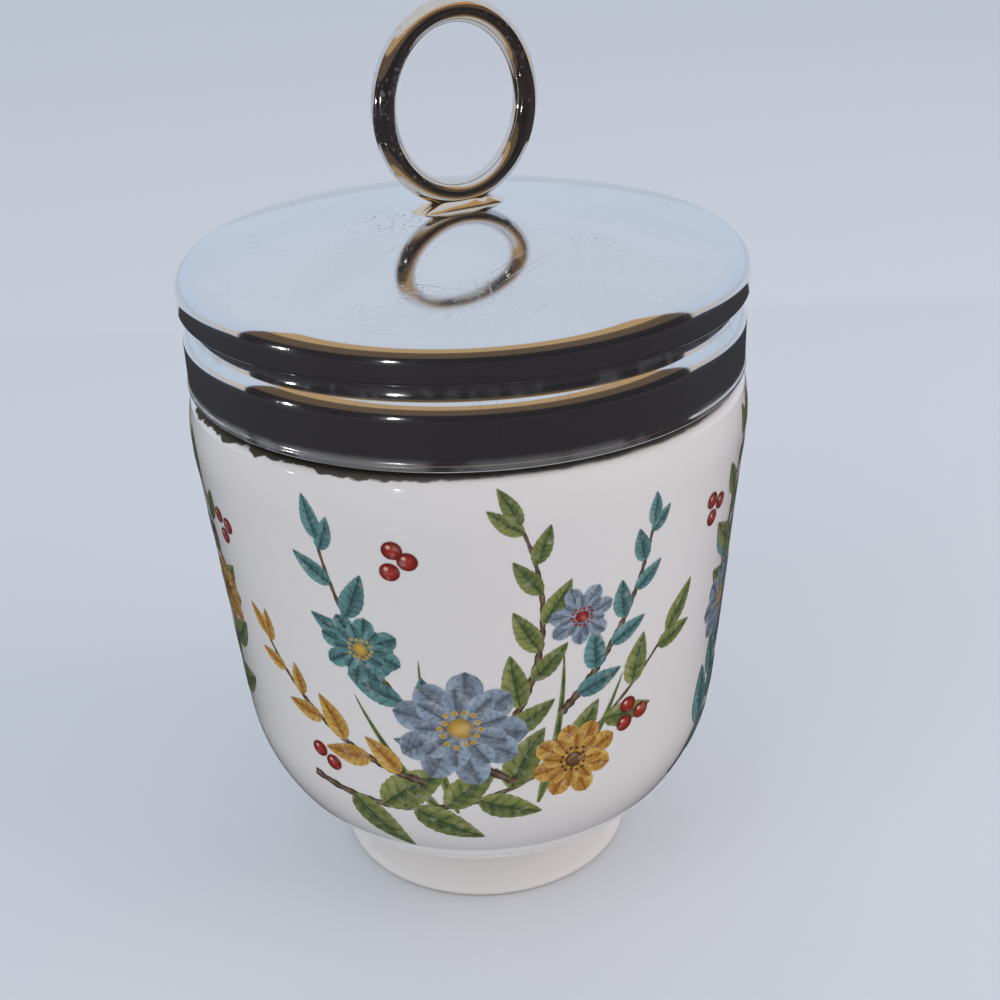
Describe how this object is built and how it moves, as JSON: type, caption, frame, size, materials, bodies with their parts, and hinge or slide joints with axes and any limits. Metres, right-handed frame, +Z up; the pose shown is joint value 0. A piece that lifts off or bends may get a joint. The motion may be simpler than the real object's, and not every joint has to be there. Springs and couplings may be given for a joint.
{
  "type": "porcelain egg coddler",
  "caption": "Footed round-bellied porcelain cup with a domed screw-on metal lid and an upright wire ring, for cooking an egg in hot water.",
  "frame": {"origin": "middle of the foot ring, on the surface the pot stands on", "axes": "+Z up along the pot's and the lid's common axis, -Y towards the side with the main decoration"},
  "size_m": [0.0748, 0.0748, 0.1208],
  "materials": {
    "porcelain": "glazed white porcelain",
    "plated_sheet": "bright plating, pitted with age",
    "plated_wire": "bright plating",
    "plated_braze": "brazing metal under bright plating",
    "liner_metal": "plain drawn sheet",
    "washer_rubber": "pale food-grade rubber"
  },
  "bodies": {
    "pot": {"pot": "porcelain"},
    "seal": {"seal_washer": "washer_rubber"},
    "lid": {"lid_liner": "liner_metal", "lid_shell": "plated_sheet", "ring_handle": "plated_wire", "handle_braze": "plated_braze"}
  },
  "joints": [
    {"name": "lid_raise", "type": "slide", "parent": "pot", "child": "seal", "axis": [0, 0, 1], "range_m": [0, 0.01801]},
    {"name": "lid_turn", "type": "hinge", "parent": "seal", "child": "lid", "pos_m": [0, 0, 0.0862], "axis": [0, 0, 1], "range_deg": [0, 1350]}
  ],
  "couplings": [
    {"joint": "lid_raise", "follows": "lid_turn", "m_per_rad": 0.00076394}
  ]
}
